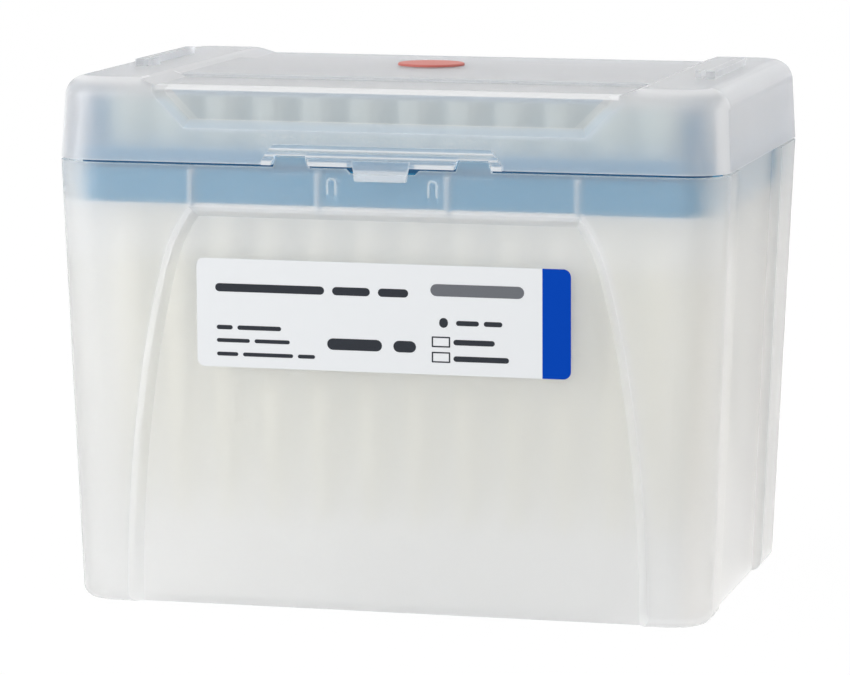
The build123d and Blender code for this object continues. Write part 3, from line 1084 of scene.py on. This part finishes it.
@dataclass
class LabelPrint:
    """Bars of ink that stand in rows on the label, as lines of generic print."""

    bars: Sequence[Bar]
    thickness: float = 0.03 * MM
    corner_steps: int = 4

    def _bar(self, mesh: bmesh.types.BMesh, bar: Bar, to_label: Matrix) -> None:
        """Add one bar as a thin slab on the label's face.

        Args:
            mesh: The print's mesh.
            bar: The bar.
            to_label: Takes a point from the label's lower left corner to its place.
        """
        # Two corners of a bar share a point where its end is one half circle.
        rim = list(dict.fromkeys(bar.rim(self.corner_steps)))
        front = [mesh.verts.new(to_label @ Vector((x, -self.thickness, z))) for x, z in rim]
        back = [mesh.verts.new(to_label @ Vector((x, 0.0, z))) for x, z in rim]
        faces = [mesh.faces.new(front), mesh.faces.new(back[::-1])]
        for place in range(len(rim)):
            after = (place + 1) % len(rim)
            faces.append(mesh.faces.new((front[place], back[place], back[after], front[after])))
        for face in faces:
            face.material_index = int(bar.pale)

    def build(self) -> bpy.types.Object:
        """Make the print as one piece on the label.

        Returns:
            The new piece, riding on the base.
        """
        low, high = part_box("front_label")
        foot = low.y + (high.z - low.z) * math.tan(LEAN)
        to_label = Matrix.Translation((low.x, foot, low.z)) @ Matrix.Rotation(LEAN, 4, "X")
        work = bmesh.new()
        for bar in self.bars:
            self._bar(work, bar, to_label)
        bmesh.ops.recalc_face_normals(work, faces=work.faces)
        mesh = bpy.data.meshes.new("label_print")
        work.to_mesh(mesh)
        work.free()
        mesh.materials.append(LABEL_INK.build())
        mesh.materials.append(PALE_INK.build())
        piece = bpy.data.objects.new("label_print", mesh)
        bpy.context.scene.collection.objects.link(piece)
        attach(piece, Body.BASE.value)
        LOG.info("made %s", piece.name)
        return piece


@dataclass
class TipBox:
    """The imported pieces, dressed with their finishes."""

    nodes: Mapping[str, bpy.types.Object]
    label_white: Colour = (0.945, 0.965, 0.985)
    field_colour: Colour = (0.0005, 0.066, 0.52)
    field_share: float = 0.925  # how far along the label the coloured field starts
    # Light scatters through the thin tips, so they and their filters cast no shadow.
    shadowless: tuple[Slot, ...] = (Slot.TIP, Slot.FILTER)

    def _label_film(self) -> bpy.types.Material:
        """Build the label's finish, with the field at its place on the label.

        Returns:
            The material.
        """
        low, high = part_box("front_label")
        start = low.x + self.field_share * (high.x - low.x)
        film = PrintedFilm("label_film_finish", self.label_white, self.field_colour, start)
        return film.build()

    def dress(self) -> None:
        """Give every node's slots their finishes."""
        finishes = {
            Slot.CLEAR: CLEAR_PLASTIC.build(),
            Slot.LID: LID_PLASTIC.build(),
            Slot.RACK: RACK_PLASTIC.build(),
            Slot.TIP: TIP_PLASTIC.build(),
            Slot.FILTER: FILTER_CORE.build(),
            Slot.LABEL: self._label_film(),
            Slot.DOT: DOT_FILM.build(),
        }
        for name, node in self.nodes.items():
            for part in node.material_slots:
                slot = Slot(part.material.name)
                part.material = finishes[slot]
                if slot in self.shadowless:
                    node.visible_shadow = False
                    node.visible_diffuse = False
            LOG.info("dressed %s", name)


@dataclass
class Lamp:
    """One soft area lamp."""

    name: str
    place: Triple
    size: float
    power: float

    def build(self, target: Vector) -> None:
        """Hang the lamp and aim it.

        Args:
            target: The point that it shines at.
        """
        data = bpy.data.lights.new(self.name, "AREA")
        data.shape = "SQUARE"
        data.size = self.size
        data.energy = self.power
        lamp = bpy.data.objects.new(self.name, data)
        bpy.context.scene.collection.objects.link(lamp)
        lamp.location = Vector(self.place)
        lamp.rotation_euler = (target - lamp.location).to_track_quat("-Z", "Y").to_euler()


@dataclass
class Studio:
    """Pale floor, white surround, soft lamps and the camera.

    Places are in metres, angles in degrees, and the lens and its sensor in millimetres.
    """

    # Camera: its angles round the target, its distance and its lens.
    azimuth: float = 13.558
    elevation: float = 7.808
    roll: float = 0.202
    distance: float = 0.8652
    target: Triple = (-0.00229, 0.0, 0.04544)
    focal_length: float = 194.6
    sensor: float = 36.0
    nearest: float = 0.01
    ambient: float = 0.70  # the surround's strength as light
    floor_half: float = 6.0
    floor_paint: Colour = (0.86, 0.86, 0.86)
    floor_roughness: float = 0.9
    floor_glow: float = 1.02
    glow_share: float = 0.95
    lamps: list[Lamp] = field(
        default_factory=lambda: [
            Lamp("key_lamp", (-0.62, -0.45, 0.30), 0.45, 1.95),
            Lamp("top_lamp", (-0.20, -0.15, 0.95), 0.2, 0.25),
            Lamp("side_lamp", (0.95, 0.15, 0.12), 0.3, 0.55),
            Lamp("rim_lamp", (0.3, 1.1, 0.5), 0.9, 0.25),
        ]
    )

    def build(self) -> None:
        """Make the surround, floor, lamps and camera."""
        self._surround()
        self._floor()
        for lamp in self.lamps:
            lamp.build(Vector(self.target))
        self._camera()
        LOG.info("set up the studio with %d lamps", len(self.lamps))
        bpy.context.scene.view_settings.view_transform = "Standard"

    def _surround(self) -> None:
        """Make the surround: white to the eye and in reflections, a little dimmer as light."""
        graph = ShaderGraph("studio", world=True)
        inputs = {"Value": graph.looked_at(), "To Min": self.ambient, "To Max": 1.0}
        strength = graph.signal("ShaderNodeMapRange", inputs=inputs)
        light = graph.node("ShaderNodeBackground", inputs={"Color": WHITE, "Strength": strength})
        bpy.context.scene.world = graph.surface(light)

    def _floor_finish(self) -> bpy.types.Material:
        """Build the floor's finish: nearly white to the eye, plain paint as light.

        Returns:
            The material.
        """
        graph = ShaderGraph("floor_white")
        paint = graph.node(
            "ShaderNodeBsdfPrincipled",
            inputs={
                "Base Color": self.floor_paint,
                "Roughness": self.floor_roughness,
                "Specular IOR Level": 0.0,
            },
        )
        glow = graph.node(
            "ShaderNodeEmission", inputs={"Color": WHITE, "Strength": self.floor_glow}
        )
        shown = graph.mix(self.glow_share, paint, glow)
        return graph.surface(graph.mix(graph.looked_at(), paint, shown))

    def _floor(self) -> None:
        """Make the wide pale floor, which keeps the soft shadow."""
        mesh = bpy.data.meshes.new("floor")
        half = self.floor_half
        rim = [(-half, -half, 0), (half, -half, 0), (half, half, 0), (-half, half, 0)]
        mesh.from_pydata(rim, [], [(0, 1, 2, 3)])
        mesh.materials.append(self._floor_finish())
        floor = bpy.data.objects.new("floor", mesh)
        bpy.context.scene.collection.objects.link(floor)

    def _camera(self) -> None:
        """Set the camera at its angle round the target."""
        azimuth, elevation = math.radians(self.azimuth), math.radians(self.elevation)
        level = math.cos(elevation)
        back = Vector(
            (math.sin(azimuth) * level, -math.cos(azimuth) * level, math.sin(elevation))
        )
        data = bpy.data.cameras.new("camera")
        data.lens = self.focal_length
        data.sensor_width = self.sensor
        data.clip_start = self.nearest
        data.clip_end = 4 * self.floor_half
        camera = bpy.data.objects.new("camera", data)
        bpy.context.scene.collection.objects.link(camera)
        place = Matrix.Translation(Vector(self.target) + self.distance * back)
        aim = (-back).to_track_quat("-Z", "Y").to_matrix().to_4x4()
        camera.matrix_world = place @ aim @ Matrix.Rotation(math.radians(self.roll), 4, "Z")
        bpy.context.scene.camera = camera


def main() -> None:
    """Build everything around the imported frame."""
    logging.basicConfig(level=logging.INFO, format="%(message)s")
    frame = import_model()
    TipBox(frame["nodes"]).dress()
    LabelPrint(LABEL_BARS).build()
    Studio().build()


if __name__ == "__main__":
    main()
